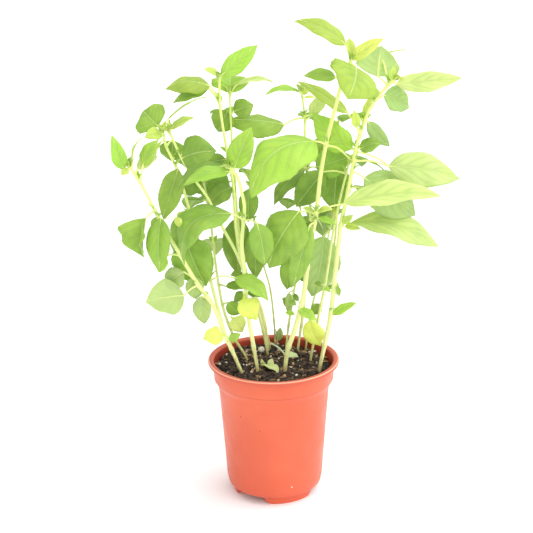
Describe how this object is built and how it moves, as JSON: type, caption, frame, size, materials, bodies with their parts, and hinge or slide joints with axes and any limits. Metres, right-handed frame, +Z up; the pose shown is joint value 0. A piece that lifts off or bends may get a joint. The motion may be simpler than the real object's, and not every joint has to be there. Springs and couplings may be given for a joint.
{
  "type": "potted basil plant",
  "caption": "Leafy basil plant with several pale green stems, growing in soil in a thin-walled terracotta-coloured plastic nursery pot with feet.",
  "frame": {"origin": "the middle of the pot's base, on the surface that it stands on", "axes": "+Z up along the pot's axis; +X to the right as the plant is seen from the front; +Y to the back"},
  "size_m": [0.3291, 0.1706, 0.4771],
  "materials": {
    "pot_plastic": "semi-matt injection-moulded polypropylene in terracotta orange",
    "potting_soil": "dark peat with crumbs, bark and pale mineral grains",
    "green_leaf": "soft satin leaf, lighter when young, pale green stems",
    "yellow_leaf": "thin yellowed leaf",
    "dry_leaf": "matt dried leaf and stem"
  },
  "bodies": {
    "root": {"pot": "pot_plastic", "soil": "potting_soil", "plant_left_forked": "green_leaf", "plant_left_back": "green_leaf", "plant_front_thick": "green_leaf", "plant_leaning_left": "green_leaf", "plant_centre_left": "green_leaf", "plant_centre_right": "green_leaf", "plant_back_thin": "green_leaf", "plant_middle_short": "green_leaf", "plant_back_tall": "green_leaf", "plant_tallest": "green_leaf", "plant_right_middle": "green_leaf", "plant_right_short": "green_leaf", "plant_right_back": "green_leaf", "plant_right_thick": "green_leaf", "leaf_yellow_front": "yellow_leaf", "leaf_yellow_left": "yellow_leaf", "leaf_yellow_back": "yellow_leaf", "leaf_yellow_right": "yellow_leaf", "leaf_fallen": "green_leaf", "leaf_withered": "dry_leaf", "stem_stub": "dry_leaf"}
  },
  "joints": []
}
